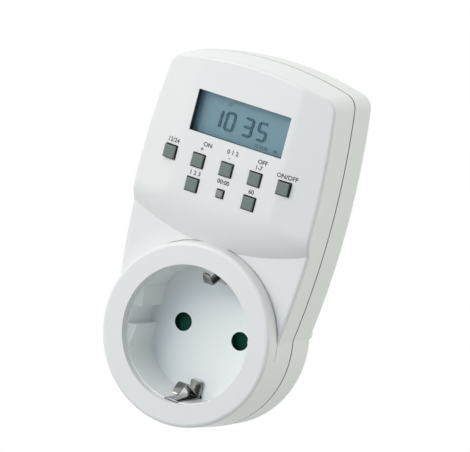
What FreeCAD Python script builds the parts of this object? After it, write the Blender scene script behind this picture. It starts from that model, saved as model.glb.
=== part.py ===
import FreeCAD, Part
import functools
import math
import os
import re
import Sketcher

# Plug-in digital time switch with a recessed earthed socket in front and a round plug behind.
# Millimetres. X to the right, Z up, the front faces -Y. The origin is on the common axis of the
# socket and the plug, in the plane of the casing's back. Depths are counted from that plane.

SIZES = {
    # casing outline, seen from the front
    "half_width": 29.4,
    "widest_height": 41.0,
    "side_radius": 250.0,
    "bottom_set_in": 1.9,
    "top_height": 81.3,
    "top_radius": 100.0,
    "corner_radius": 4.6,
    # casing depths and walls
    "case_depth": 28.0,
    "rear_depth": 13.3,
    "face_drop": 0.3,
    "collar_rise": 5.0,
    "seam_gap": 0.45,
    "wall": 2.0,
    "back_wall": 2.2,
    "front_draft": 0.35,
    "top_lean": 1.2,
    "rear_edge_radius": 2.6,
    "front_edge_radius": 0.95,
    "tongue_height": 1.5,
    "tongue_thickness": 1.0,
    "fit_gap": 0.1,
    # raised control panel over the sunk lower face
    "belly_drop": 16.1,
    "belly_radius": 72.0,
    "belly_run": 12.5,
    "panel_crease_radius": 8.0,
    "crown_run": 12.9,
    "crown_drop": 2.3,
    # collar round the socket
    "collar_set_in": 0.8,
    "collar_edge_radius": 1.1,
    "collar_groove": 0.35,
    "collar_groove_depth": 0.5,
    "lip_depth": 2.6,
    "mouth_step": 0.3,
    # socket recess and plug, from the plug and socket standard
    "socket_radius": 19.9,
    "socket_depth": 17.6,
    "insert_wall": 1.8,
    "insert_floor": 2.0,
    "ring_wall": 1.1,
    "guide_flat": 17.6,
    "guide_groove": 5.5,
    "guide_lead": 2.4,
    "pin_spacing": 19.0,
    "pin_radius": 2.4,
    "pin_length": 19.0,
    "pin_tip_radius": 1.6,
    "pin_hole_radius": 2.75,
    "pin_shoulder_radius": 2.8,
    "pin_head_radius": 3.4,
    "pin_head": 1.5,
    "pin_boss": 1.6,
    "pin_boss_radius": 4.0,
    "plug_radius": 19.3,
    "plug_depth": 17.0,
    "plug_flat_depth": 2.0,
    "plug_rib": 5.0,
    "plug_floor": 3.0,
    "plug_edge_radius": 1.0,
    "plug_wall": 4.0,
    # earth strips
    "strip_width": 4.0,
    "strip_sheet": 0.6,
    "strip_sink": 0.3,
    "strip_set_back": 0.3,
    "strip_slot_gap": 0.4,
    "upright_rise": 4.6,
    "leaf_rise": 4.8,
    "leaf_width": 2.6,
    "leaf_reach": 10.5,
    "leaf_bend": 2.4,
    "leaf_tip_drop": 3.35,
    "plug_strip_bow": 0.7,
    "channel_width": 7.0,
    "channel_depth": 2.9,
    "link_set_in": 0.9,
    # shutter, contacts and their carrier
    "shutter_cavity": 3.0,
    "shutter_clear": 0.3,
    "shutter_thickness": 2.2,
    "shutter_lobe": 3.5,
    "shutter_web": 4.6,
    "shutter_hub": 4.0,
    "hub_boss_radius": 2.4,
    "pivot_radius": 1.4,
    "running_gap": 0.05,
    "carrier_gap": 0.2,
    "carrier_flange": 2.2,
    "well_width": 8.4,
    "well_height": 7.0,
    "well_floor": 0.7,
    "contact_half": 3.6,
    "contact_pinch": 2.2,
    "contact_sheet": 0.7,
    "contact_width": 5.0,
    "tab_width": 1.6,
    "tab_inset": 1.0,
    "tab_height": 12.0,
    "spring_pocket_radius": 5.6,
    "spring_pocket_depth": 2.2,
    "spring_inner_radius": 2.8,
    "spring_pitch": 0.85,
    "spring_wire": 0.3,
    "spring_width": 1.2,
    # wires
    "wire_radius": 0.75,
    "wire_bend": 2.4,
    "wire_inset": 1.5,
    "wire_height": 11.2,
    "wire_notch_height": 9.6,
    "wire_notch_half": 10.4,
    # display
    "window_side": 14.3,
    "window_height": 12.1,
    "window_drop": 18.3,
    "lens_margin": 1.6,
    "lens_thickness": 1.2,
    "glass_thickness": 2.0,
    "frame_wall": 1.2,
    "rubber_strip_thickness": 2.0,
    # keys
    "key_side": 10.78,
    "key_shift": 0.5,
    "key_size": 3.7,
    "reset_size": 2.1,
    "key_row_drop": 7.8,
    "key_row_pitch": 7.15,
    "key_stand": 0.75,
    "key_gap": 0.3,
    "key_flange": 0.8,
    "key_flange_margin": 0.9,
    "key_corner_radius": 0.35,
    "key_travel": 0.9,
    "key_stem_radius": 1.0,
    "mat_thickness": 1.1,
    "mat_margin": 3.3,
    "dome_gap": 0.3,
    "dome_wall": 0.5,
    # boards
    "board_thickness": 1.6,
    "board_distance": 5.7,
    "board_side_gap": 4.8,
    "board_step": 3.7,
    "board_step_gap": 5.5,
    "board_low_margin": 8.1,
    "board_top_gap": 2.9,
    "board_post_inset": 2.3,
    "board_post_radius": 2.1,
    "board_screw_radius": 0.9,
    "board_screw_head_radius": 1.9,
    "board_screw_head": 1.1,
    "board_screw_bite": 4.0,
    "power_side_gap": 6.4,
    "power_low_gap": 7.8,
    "power_drop": 15.3,
    "power_stand": 0.8,
    "stake_inset": 3.0,
    "stake_radius": 1.0,
    "stake_rise": 0.6,
    # case screws
    "screw_side": 7.0,
    "screw_drop": 10.7,
    "screw_low_gap": 9.5,
    "screw_post_radius": 3.1,
    "screw_radius": 1.4,
    "screw_head_radius": 2.4,
    "screw_head": 1.6,
    "screw_well": 4.0,
    "screw_bite": 6.5,
    # parts on the boards
    "part_inset": 2.5,
    "part_gap": 1.5,
    "chip_inset": 8.6,
    "chip_rise": 8.0,
    "chip_size": 10.0,
    "chip_height": 1.5,
    "cell_radius": 7.7,
    "cell_height": 5.4,
    "cell_rise": 3.0,
    "crystal_radius": 1.0,
    "crystal_length": 6.0,
    "relay_drop": 9.3,
    "relay_width": 15.4,
    "relay_length": 18.6,
    "relay_height": 10.2,
    "film_width": 6.0,
    "film_length": 13.0,
    "film_height": 9.5,
    "film_rise": 8.5,
    "can_radius": 4.0,
    "can_length": 11.5,
    "disc_radius": 3.6,
    "disc_thickness": 3.0,
    "fuse_radius": 1.8,
    "fuse_length": 9.0,
    "header_inset": 1.8,
    "header_rise": 9.0,
    "header_places": 8,
    "header_pitch": 2.0,
    "header_pin": 0.6,
    "header_bar": 2.0,
}

# Sizes that follow from others, so that the pieces move along with the casing.
FOLLOWING = {
    "bottom_radius": "half_width - bottom_set_in",
    "collar_radius": "bottom_radius - collar_set_in",
    "collar_foot": "collar_radius + collar_set_in * collar_rise / (case_depth - rear_depth - seam_gap / 2)",
    "mouth_radius": "socket_radius + mouth_step",
    "flat_half_width": "half_width - crown_run",
    "window_width": "2 * (half_width - window_side)",
    "window_centre_height": "top_height - window_drop",
    "key_pitch": "(half_width - key_side) / 2",
    "upper_row_height": "window_centre_height - window_height / 2 - key_row_drop",
    "lower_row_height": "upper_row_height - key_row_pitch",
    "belly_centre_height": "lower_row_height - belly_drop + belly_radius",
    "plug_flat": "plug_radius - plug_flat_depth",
    "plug_hollow_radius": "plug_radius - plug_wall",
    "carrier_flange_radius": "plug_hollow_radius + carrier_flange",
    "link_radius": "socket_radius - link_set_in",
    "wire_across": "pin_spacing / 2 - wire_inset",
    "control_half_width": "half_width - wall - board_side_gap",
    "control_shoulder": "control_half_width - board_step",
    "control_low": "lower_row_height - board_low_margin",
    "control_high": "top_height - wall - board_top_gap",
    "control_shoulder_height": "screw_high - screw_post_radius - board_step_gap",
    "board_post_across": "control_shoulder - board_post_inset",
    "board_post_low": "control_low + board_post_inset",
    "board_post_high": "control_high - board_post_inset",
    "power_half_width": "half_width - wall - power_side_gap",
    "power_low": "socket_radius + insert_wall + power_low_gap",
    "power_high": "top_height - power_drop",
    "screw_across": "half_width - screw_side",
    "screw_high": "top_height - screw_drop",
    "screw_low": "control_low - screw_low_gap",
}

os.makedirs("parts", exist_ok=True)
doc = FreeCAD.newDocument("time_switch")
sheet = doc.addObject("Spreadsheet::Sheet", "Sizes")
for row, (name, value) in enumerate(SIZES.items(), start=1):
    sheet.set(f"A{row}", name)
    sheet.set(f"B{row}", str(value))
    sheet.setAlias(f"B{row}", name)
doc.recompute()

# Depths and radii that several pieces share, each written once in terms of the sheet.
RIM = "(-case_depth)"
FACE = "(-case_depth + face_drop)"
FACE_INNER = "(-case_depth + face_drop + wall)"
LOWER_FACE = "(-case_depth + collar_rise)"
SEAM_FRONT = "(-rear_depth - seam_gap / 2)"
SEAM_REAR = "(-rear_depth + seam_gap / 2)"
BACK_INNER = "(-back_wall)"
INSERT_FRONT = "(-case_depth + lip_depth)"
FLOOR = "(-case_depth + socket_depth)"
INSERT_BACK = "(-case_depth + socket_depth + insert_floor)"
INSERT_RADIUS = "(socket_radius + insert_wall)"
CARRIER_FRONT = f"({INSERT_BACK} + shutter_cavity)"
PLUG_FLOOR = "(plug_depth - plug_floor)"
PIN_HEAD_BACK = f"({PLUG_FLOOR} - pin_boss)"
PIN_HEAD_FRONT = f"({PIN_HEAD_BACK} - pin_head)"
CARRIER_BACK = f"({PIN_HEAD_FRONT} - shutter_clear)"
WELL_BACK = f"({CARRIER_BACK} - well_floor)"
CONTACT_BACK = f"({WELL_BACK} - carrier_gap)"
PIN_ACROSS = "(pin_spacing / 2)"
LENS_BACK = f"({FACE_INNER} + lens_thickness)"
GLASS_FRONT = f"({LENS_BACK} + fit_gap)"
GLASS_BACK = f"({GLASS_FRONT} + glass_thickness)"
BOARD_FRONT = f"({FACE_INNER} + board_distance)"
BOARD_BACK = f"({BOARD_FRONT} + board_thickness)"
POWER_BACK = "(-back_wall - power_stand)"
POWER_FRONT = f"({POWER_BACK} - board_thickness)"
POWER_MIDDLE = f"(({POWER_BACK} + {POWER_FRONT}) / 2)"
STRIP_OUTER = "(socket_radius + strip_sink)"
STRIP_INNER = "(socket_radius + strip_sink - strip_sheet)"
PLUG_STRIP_INNER = "(plug_radius - channel_depth + strip_sheet * 2)"
PLUG_STRIP_OUTER = "(plug_radius - channel_depth + strip_sheet * 3)"
LENS_HALF_WIDTH = "(window_width / 2 + lens_margin)"
LENS_HALF_HEIGHT = "(window_height / 2 + lens_margin)"
FLANGE_BACK = f"({FACE_INNER} + key_flange)"
HEADER_ACROSS = "(power_half_width - header_inset)"
BOTH_SIDES = ("", "-")

# Each key: its node, where it sits across (a little left of the middle), its row and its size.
KEYS = [
    ("clock_key", "(-2 * key_pitch - key_shift)", "upper_row_height", "key_size"),
    ("plus_key", "(-key_pitch - key_shift)", "upper_row_height", "key_size"),
    ("minus_key", "-key_shift", "upper_row_height", "key_size"),
    ("random_key", "(key_pitch - key_shift)", "upper_row_height", "key_size"),
    ("on_off_key", "(2 * key_pitch - key_shift)", "upper_row_height", "key_size"),
    ("set_key", "(-key_pitch - key_shift)", "lower_row_height", "key_size"),
    ("reset_key", "-key_shift", "lower_row_height", "reset_size"),
    ("countdown_key", "(key_pitch - key_shift)", "lower_row_height", "key_size"),
]
CASE_SCREWS = [(f"{side}screw_across", f"screw_{row}") for row in ("high", "low")
               for side in BOTH_SIDES]
BOARD_POSTS = [(f"{side}board_post_across", f"board_post_{row}") for row in ("high", "low")
               for side in BOTH_SIDES]
STAKES = [(f"{side}(power_half_width - stake_inset)", height) for side in BOTH_SIDES
          for height in ("(power_low + stake_inset)", "(power_high - stake_inset)")]

pieces = []


def sized(expression):
    """Point each word of an expression that is a size at its cell, and write out the words for
    sizes that follow from others."""
    def cell(word):
        if word[0] in FOLLOWING:
            return f"({sized(FOLLOWING[word[0]])})"
        return f"Sizes.{word[0]}" if word[0] in SIZES else word[0]

    return re.sub(r"[a-z][a-z_]*", cell, str(expression))


@functools.cache
def number(expression):
    return float(sheet.evalExpression(sized(expression)))


def bind(thing, **expressions):
    for name, expression in expressions.items():
        thing.setExpression(name.replace("__", "."), sized(expression))


def piece(name):
    body = doc.addObject("PartDesign::Body", name)
    body.Label = name
    pieces.append(body)
    return body


class Drawing:
    """A sketch on one of its body's origin planes whose every corner is bound to the sheet."""

    def __init__(self, body, plane, shift, across="0", up="0"):
        self.sketch = body.newObject("Sketcher::SketchObject", "Sketch")
        origin = [f for f in body.Origin.OriginFeatures if f.Role == plane + "_Plane"]
        self.sketch.AttachmentSupport = [(origin[0], "")]
        self.sketch.MapMode = "FlatFace"
        bind(self.sketch, AttachmentOffset__Base__x=across, AttachmentOffset__Base__y=up,
             AttachmentOffset__Base__z=shift)

    def fix(self, kind, *where, size):
        """Add one dimension and bind it to an expression."""
        index = self.sketch.addConstraint(Sketcher.Constraint(kind, *where, number(size)))
        self.sketch.setExpression(f"Constraints[{index}]", sized(size))

    def rectangle(self, left, right, low, high):
        return self.path([(left, low), (right, low), (right, high), (left, high)])

    def circle(self, across, up, radius):
        centre = FreeCAD.Vector(number(across), number(up), 0)
        curve = self.sketch.addGeometry(Part.Circle(centre, FreeCAD.Vector(0, 0, 1), number(radius)))
        self.fix("DistanceX", curve, 3, size=across)
        self.fix("DistanceY", curve, 3, size=up)
        self.fix("Radius", curve, size=radius)

    def path(self, corners):
        """A closed path of corners (across, up). A corner (across, up, radius) starts an arc that
        turns left, and (across, up, radius, "right") one that turns right."""
        flat = [FreeCAD.Vector(number(c[0]), number(c[1]), 0) for c in corners]
        edges = []
        for index, corner in enumerate(corners):
            start = flat[index]
            end = flat[(index + 1) % len(flat)]
            if len(corner) == 2:
                edges.append(self.sketch.addGeometry(Part.LineSegment(start, end)))
                continue
            radius = number(corner[2])
            side = -1 if corner[3:] == ("right",) else 1
            chord = end - start
            across_chord = FreeCAD.Vector(-chord.y, chord.x, 0).normalize()
            rise = math.sqrt(max(radius ** 2 - (chord.Length / 2) ** 2, 0))
            middle = (start + end) / 2 + across_chord * (rise - radius) * side
            edges.append(self.sketch.addGeometry(Part.Arc(start, middle, end)))
        for index, corner in enumerate(corners):
            after = (index + 1) % len(corners)
            swapped = self.start_of(edges[index], flat[index])
            swapped_after = self.start_of(edges[after], flat[after])
            self.sketch.addConstraint(Sketcher.Constraint(
                "Coincident", edges[index], 3 - swapped, edges[after], swapped_after))
            self.fix("DistanceX", edges[index], swapped, size=corner[0])
            self.fix("DistanceY", edges[index], swapped, size=corner[1])
            if len(corner) > 2:
                self.fix("Radius", edges[index], size=corner[2])

    def run(self, corners, bend):
        """An open path of level and upright runs, rounded at each corner by the bend radius."""
        points = [FreeCAD.Vector(number(a), number(b), 0) for a, b in corners]

        def beside(index, towards):
            way = (points[towards] - points[index]).normalize()
            return tuple(f"({place} + ({round(step)}) * {bend})" if abs(step) > 0.5 else place
                         for place, step in zip(corners[index], way))

        start = corners[0]
        before = None
        for index in range(1, len(corners)):
            last = index == len(corners) - 1
            end = corners[index] if last else beside(index, index - 1)
            before = self.leg(start, end, before)
            if not last:
                start = beside(index, index + 1)
                before = self.leg(end, start, before, points[index], bend)

    def leg(self, start, end, before, corner=None, bend=None):
        """One line of a run, or the arc round a corner, joined to the leg before it."""
        first, second = [FreeCAD.Vector(number(a), number(b), 0) for a, b in (start, end)]
        if corner is None:
            edge = self.sketch.addGeometry(Part.LineSegment(first, second))
        else:
            centre = first + second - corner
            middle = centre + (corner - centre).normalize() * number(bend)
            edge = self.sketch.addGeometry(Part.Arc(first, middle, second))
            self.fix("Radius", edge, size=bend)
        near = self.start_of(edge, first)
        if before is None:
            self.fix("DistanceX", edge, near, size=start[0])
            self.fix("DistanceY", edge, near, size=start[1])
        else:
            self.sketch.addConstraint(Sketcher.Constraint("Coincident", before[0], before[1], edge, near))
        self.fix("DistanceX", edge, 3 - near, size=end[0])
        self.fix("DistanceY", edge, 3 - near, size=end[1])
        return edge, 3 - near

    def start_of(self, edge, point):
        """Which end of an edge lies on the point: 1 its start, 2 its end."""
        return 1 if self.sketch.getPoint(edge, 1).distanceToPoint(point) < 1e-6 else 2

    def outline(self, inset="0", top="top_height", low="bottom_radius"):
        """The casing's outline seen from the front, set in by a distance: a gently arched top,
        two bowed sides and a round bottom, with rounded upper corners."""
        top_centre = ("0", f"({top} - top_radius)")
        side_centre = ("(half_width - side_radius)", "widest_height")
        top_radius = f"(top_radius - ({inset}))"
        side_radius = f"(side_radius - ({inset}))"
        low_radius = f"({low} - ({inset}))"
        corner_radius = f"(corner_radius - ({inset}) / 2)"
        tips = outline_points(number(top), number(inset), number(corner_radius), number(low))
        bend, peak, shoulder, hip = tips
        mirror = [FreeCAD.Vector(-p.x, p.y, 0) for p in tips]
        crown = FreeCAD.Vector(0, number(top) - number(inset), 0)
        base = FreeCAD.Vector(0, -number(low_radius), 0)
        side_mid = FreeCAD.Vector(number("half_width") - number(inset), number("widest_height"), 0)
        side_mid_left = FreeCAD.Vector(-side_mid.x, side_mid.y, 0)
        arcs = [self.sketch.addGeometry(Part.Arc(*ends)) for ends in (
            (peak, crown, mirror[1]), (shoulder, bend, peak), (hip, side_mid, shoulder),
            (mirror[3], base, hip), (mirror[2], side_mid_left, mirror[3]),
            (mirror[1], mirror[0], mirror[2]))]
        upper, right_corner, right, lower, left, left_corner = arcs
        for first, second in ((upper, left_corner), (left_corner, left), (right_corner, upper),
                              (right, right_corner)):
            self.sketch.addConstraint(Sketcher.Constraint("Tangent", first, 2, second, 1))
        for first, second in ((left, lower), (lower, right)):
            self.sketch.addConstraint(Sketcher.Constraint("Coincident", first, 2, second, 1))
        for arc, centre, radius in ((upper, top_centre, top_radius), (right, side_centre, side_radius),
                                    (lower, ("0", "0"), low_radius)):
            self.fix("DistanceX", arc, 3, size=centre[0])
            self.fix("DistanceY", arc, 3, size=centre[1])
            self.fix("Radius", arc, size=radius)
        self.fix("DistanceX", left, 3, size="(side_radius - half_width)")
        self.fix("DistanceY", left, 3, size=side_centre[1])
        self.fix("Radius", left, size=side_radius)
        self.fix("Radius", right_corner, size=corner_radius)
        self.fix("Radius", left_corner, size=corner_radius)
        return self


def circles_meet(centre_a, radius_a, centre_b, radius_b, side):
    """Where two circles cross, on the side given by the sign."""
    apart = centre_b - centre_a
    along = (radius_a ** 2 - radius_b ** 2 + apart.Length ** 2) / (2 * apart.Length)
    off = math.sqrt(radius_a ** 2 - along ** 2)
    unit = FreeCAD.Vector(apart).normalize()
    return centre_a + unit * along + FreeCAD.Vector(-unit.y, unit.x, 0) * off * side


def outline_points(top, inset, corner_radius, low):
    """The right corner's mid point, its two ends and the point where the side meets the bottom."""
    top_centre = FreeCAD.Vector(0, top - number("top_radius"), 0)
    side_centre = FreeCAD.Vector(number("half_width - side_radius"), number("widest_height"), 0)
    top_radius = number("top_radius") - inset
    side_radius = number("side_radius") - inset
    corner = circles_meet(top_centre, top_radius - corner_radius,
                          side_centre, side_radius - corner_radius, -1)
    peak = corner + (corner - top_centre).normalize() * corner_radius
    shoulder = corner + (corner - side_centre).normalize() * corner_radius
    bend = corner + ((peak + shoulder) / 2 - corner).normalize() * corner_radius
    hip = circles_meet(FreeCAD.Vector(0, 0, 0), low - inset, side_centre, side_radius, -1)
    return bend, peak, shoulder, hip


def layer(body, plane, low, high, cut=False):
    """A sketch for material, or for a cut, between two levels along the plane's own axis.
    It returns the drawing and a function that makes the feature once the drawing is filled."""
    backwards = plane == "XZ"
    level = high if cut != backwards else low
    drawing = Drawing(body, plane, f"-({level})" if backwards else level)

    def finish():
        kind = "PartDesign::Pocket" if cut else "PartDesign::Pad"
        feature = body.newObject(kind, "Pocket" if cut else "Pad")
        feature.Profile = drawing.sketch
        bind(feature, Length=f"({high}) - ({low})")
        doc.recompute()
        return feature

    return drawing, finish


def slab(body, plane, low, high, *shapes, cut=False):
    """Pad or cut the given shapes between two levels. A shape is a name and its arguments."""
    drawing, finish = layer(body, plane, low, high, cut)
    for kind, *arguments in shapes:
        getattr(drawing, kind)(*arguments)
    return finish()


def turned(body, corners, cut=False, across="0", up="0"):
    """A solid or a cut turned about an axis along Y, from corners (depth, radius)."""
    drawing = Drawing(body, "YZ", across, up=up)
    drawing.path(corners)
    kind = "PartDesign::Groove" if cut else "PartDesign::Revolution"
    feature = body.newObject(kind, "Groove" if cut else "Revolution")
    feature.Profile = drawing.sketch
    feature.ReferenceAxis = (drawing.sketch, ["H_Axis"])
    feature.Angle = 360
    doc.recompute()
    return feature


def loft(body, first, second):
    """A ruled solid between two outlines, each (depth, inset, top height, bottom radius)."""
    drawings = [Drawing(body, "XZ", f"-({depth})").outline(*rest)
                for depth, *rest in (first, second)]
    feature = body.newObject("PartDesign::AdditiveLoft", "Loft")
    feature.Profile = drawings[0].sketch
    feature.Sections = [drawings[1].sketch]
    feature.Ruled = True
    doc.recompute()
    return feature


def rounded(body, radius, choose):
    """Fillet the edges of the body's last feature that a test picks."""
    base = body.Tip
    names = [f"Edge{i}" for i, edge in enumerate(base.Shape.Edges, start=1) if choose(edge)]
    feature = body.newObject("PartDesign::Fillet", "Fillet")
    feature.Base = (base, names)
    bind(feature, Radius=radius)
    doc.recompute()
    return feature


def all_at(edge, test):
    """Whether points spread along an edge all pass a test."""
    first, last = edge.FirstParameter, edge.LastParameter
    return all(test(edge.valueAt(first + (last - first) * share)) for share in (0.02, 0.3, 0.7, 0.98))


def level(point, depth):
    return abs(point.y - number(depth)) < 0.01


def panel_crease(edge):
    """Whether an edge lies where the panel's flat middle or its belly meets a sloping side."""
    slope = number("crown_drop / (half_width + 1 - flat_half_width)")

    def inside(point):
        past = abs(point.x) - number("flat_half_width")
        from_belly = math.hypot(point.x, point.z - number("belly_centre_height"))
        on_side = past > -0.01 and abs(point.y - number(FACE) - past * slope) < 0.02
        on_belly = from_belly > number("belly_radius - belly_run - 0.5")
        return on_side and (abs(past) < 0.01 or on_belly and point.z < number("widest_height"))

    return all_at(edge, inside)


def casing_rim(shape):
    """The edges between the casing's side walls and its front, as hash codes."""
    def meets_seam(face):
        return any(all_at(edge, lambda p: level(p, SEAM_FRONT)) for edge in face.Edges)

    def is_seam(face):
        return all(all_at(edge, lambda p: level(p, SEAM_FRONT)) for edge in face.Edges)

    walls = [face for face in shape.Faces if meets_seam(face) and not is_seam(face)]
    fronts = [face for face in shape.Faces if not meets_seam(face)]
    return ({edge.hashCode() for face in walls for edge in face.Edges}
            & {edge.hashCode() for face in fronts for edge in face.Edges})


def casing_panel(body, inset):
    """The front half of the casing as a solid block: the tapered outline, the sunk lower face
    with the round belly of the control panel above it, and the crowned panel. The cavity is the
    same form, set in by the wall."""
    front = f"({FACE} + ({inset}))"
    lower = f"({LOWER_FACE} + ({inset}))"
    loft(body, (front, f"front_draft + ({inset})", "(top_height - top_lean)", "collar_radius"),
         (SEAM_FRONT, inset, "top_height", "bottom_radius"))
    inner = f"(belly_radius - belly_run - ({inset}))"
    outer = f"(belly_radius - ({inset}))"
    drop = "(collar_rise - face_drop)"
    curve = f"((belly_run ^ 2 + {drop} ^ 2) / (2 * {drop}))"
    ahead = f"({front} - collar_rise)"
    turned(body, [(front, inner, curve, "right"), (lower, outer), (lower, "2 * belly_radius"),
                  (ahead, "2 * belly_radius"), (ahead, inner)], cut=True, up="belly_centre_height")
    edge_depth = f"({front} + crown_drop)"
    side = "(half_width + 1)"
    for sign in ("", "-"):
        corners = [(f"{sign}(flat_half_width)", front), (f"{sign}{side}", edge_depth),
                   (f"{sign}{side}", ahead), (f"{sign}(flat_half_width)", ahead)]
        slab(body, "XY", "-bottom_radius", "top_height + wall", ("path", corners), cut=True)


def collar_block(body, inset, lip):
    rim = f"({RIM} + ({lip}))"
    turned(body, [(rim, "0"), (rim, f"collar_radius - ({inset})"),
                  (SEAM_FRONT, f"bottom_radius - ({inset})"), (SEAM_FRONT, "0")])


def centred(across, up, width, height):
    """A rectangle about a point, as a shape for slab."""
    return ("rectangle", f"({across}) - ({width}) / 2", f"({across}) + ({width}) / 2",
            f"({up}) - ({height}) / 2", f"({up}) + ({height}) / 2")


def front_cover():
    body = piece("front_cover")
    casing_panel(body, "0")
    rounded(body, "panel_crease_radius", panel_crease)
    rim = casing_rim(body.Tip.Shape)
    rounded(body, "front_edge_radius", lambda edge: edge.hashCode() in rim)
    collar_block(body, "0", "0")
    rounded(body, "collar_edge_radius", lambda edge: all_at(edge, lambda p: level(p, RIM)))
    # The fine groove at the collar's foot, over its upper half.
    outer, inner = "(collar_foot + collar_groove * 2 / 3)", "(collar_foot - collar_groove / 3)"
    end = "collar_groove"
    wide, narrow = [f"sqrt({radius} ^ 2 - {end} ^ 2)" for radius in (outer, inner)]
    slab(body, "XZ", f"{LOWER_FACE} - collar_groove_depth", f"{LOWER_FACE} + collar_groove_depth",
         ("path", [(wide, end, outer), (f"-{wide}", end), (f"-{narrow}", end, inner, "right"),
                   (narrow, end)]), cut=True)
    cavity = doc.addObject("PartDesign::Body", "cavity")
    casing_panel(cavity, "wall")
    collar_block(cavity, "wall", "lip_depth")
    hollow = body.newObject("PartDesign::Boolean", "Hollow")
    hollow.setObjects([cavity])
    hollow.Type = "Cut"
    doc.recompute()
    slab(body, "XZ", f"{SEAM_FRONT} - tongue_height - fit_gap", SEAM_FRONT,
         ("outline", "wall - tongue_thickness - fit_gap"), cut=True)
    slab(body, "XZ", f"{RIM} - 1", f"{INSERT_FRONT} + 1", ("circle", "0", "0", "mouth_radius"), cut=True)
    slab(body, "XZ", f"{FACE} - 1", f"{FACE_INNER} + 1",
         centred("0", "window_centre_height", "window_width", "window_height"), cut=True)
    slab(body, "XZ", FACE_INNER, f"{FACE_INNER} + crown_drop",
         centred("0", "window_centre_height", f"2 * ({LENS_HALF_WIDTH} + frame_wall + 3 * fit_gap)",
                 f"2 * ({LENS_HALF_HEIGHT} + frame_wall + 3 * fit_gap)"), cut=True)
    holes = [centred(across, row, f"{size} + 2 * key_gap", f"{size} + 2 * key_gap")
             for name, across, row, size in KEYS]
    slab(body, "XZ", f"{FACE} - 1", f"{FACE_INNER} + 1", *holes, cut=True)
    seats = [centred(across, row, *[f"{size} + 2 * (key_flange_margin + key_gap)"] * 2)
             for name, across, row, size in KEYS]
    slab(body, "XZ", FACE_INNER, f"{FACE_INNER} + crown_drop", *seats, cut=True)
    slab(body, "XZ", FACE_INNER, BOARD_FRONT,
         *[("circle", across, up, "board_post_radius") for across, up in BOARD_POSTS])
    slab(body, "XZ", f"{BOARD_FRONT} - board_screw_bite", f"{BOARD_FRONT} + 1",
         *[("circle", across, up, "board_screw_radius + running_gap") for across, up in BOARD_POSTS],
         cut=True)
    high, low = CASE_SCREWS[:2], CASE_SCREWS[2:]
    slab(body, "XZ", FACE_INNER, SEAM_FRONT,
         *[("circle", across, up, "screw_post_radius") for across, up in high])
    slab(body, "XZ", f"{LOWER_FACE} + wall / 2", SEAM_FRONT,
         *[("circle", across, up, "screw_post_radius") for across, up in low])
    slab(body, "XZ", f"{SEAM_FRONT} - screw_bite", f"{SEAM_FRONT} + 1",
         *[("circle", across, up, "screw_radius + running_gap") for across, up in CASE_SCREWS], cut=True)


def rear_cover():
    body = piece("rear_cover")
    slab(body, "XZ", SEAM_REAR, "0", ("outline",))
    rounded(body, "rear_edge_radius", lambda edge: all_at(edge, lambda p: level(p, "0")))
    slab(body, "XZ", f"{SEAM_REAR} - 1", BACK_INNER, ("outline", "wall"), cut=True)
    slab(body, "XZ", f"{SEAM_FRONT} - tongue_height", f"{SEAM_REAR} + wall",
         ("outline", "wall - tongue_thickness"), ("outline", "wall"))
    slab(body, "XZ", BACK_INNER, "plug_depth", ("circle", "0", "0", "plug_radius"))
    rounded(body, "plug_edge_radius", lambda edge: all_at(edge, lambda p: level(p, "plug_depth")))
    clear = "(plug_radius + 1)"
    slab(body, "XZ", "0", "plug_depth + 1",
         *[("rectangle", f"{side}plug_flat", f"{side}{clear}", *span) for side in BOTH_SIDES
           for span in (("plug_rib / 2", clear), (f"-{clear}", "-plug_rib / 2"))], cut=True)
    slab(body, "XZ", f"{BACK_INNER} - 1", PLUG_FLOOR, ("circle", "0", "0", "plug_hollow_radius"),
         cut=True)
    slab(body, "XZ", PIN_HEAD_BACK, PLUG_FLOOR,
         *[("circle", f"{side}{PIN_ACROSS}", "0", "pin_boss_radius") for side in BOTH_SIDES])
    slab(body, "XZ", f"{PIN_HEAD_BACK} - 1", "plug_depth + 1",
         *[("circle", f"{side}{PIN_ACROSS}", "0", "pin_shoulder_radius") for side in BOTH_SIDES],
         cut=True)
    slab(body, "XZ", "0", "plug_depth + 1",
         *[centred("0", f"{side}(plug_radius - channel_depth / 2 + 0.5)", "channel_width",
                   "channel_depth + 1") for side in BOTH_SIDES], cut=True)
    slab(body, "XZ", INSERT_BACK, f"{BACK_INNER} + back_wall / 2",
         ("circle", "0", "0", INSERT_RADIUS), ("circle", "0", "0", f"{INSERT_RADIUS} - ring_wall"))
    slot_middle = f"(({PLUG_STRIP_INNER} + {PLUG_STRIP_OUTER}) / 2)"
    slab(body, "XZ", f"{BACK_INNER} - 1", "1",
         *[centred("0", f"{side}{slot_middle}", "strip_width + 2 * fit_gap",
                   "strip_sheet + 2 * strip_slot_gap") for side in BOTH_SIDES], cut=True)
    slab(body, "XZ", f"{INSERT_BACK} + shutter_clear", BACK_INNER,
         ("rectangle", "-wire_notch_half", "wire_notch_half", "wire_height", f"{INSERT_RADIUS} + 1"),
         cut=True)
    slab(body, "XZ", SEAM_REAR, f"{BACK_INNER} + back_wall / 2",
         *[("circle", across, up, "screw_post_radius") for across, up in CASE_SCREWS])
    slab(body, "XZ", f"{SEAM_REAR} - 1", "1",
         *[("circle", across, up, "screw_radius + running_gap") for across, up in CASE_SCREWS], cut=True)
    slab(body, "XZ", "-screw_well - screw_head", "1",
         *[("circle", across, up, "screw_head_radius + running_gap") for across, up in CASE_SCREWS],
         cut=True)
    slab(body, "XZ", POWER_BACK, f"{BACK_INNER} + back_wall / 2",
         *[("circle", across, up, "stake_radius * 2") for across, up in STAKES])
    slab(body, "XZ", f"{POWER_FRONT} - stake_rise", f"{BACK_INNER} + back_wall / 2",
         *[("circle", across, up, "stake_radius") for across, up in STAKES])


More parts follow.
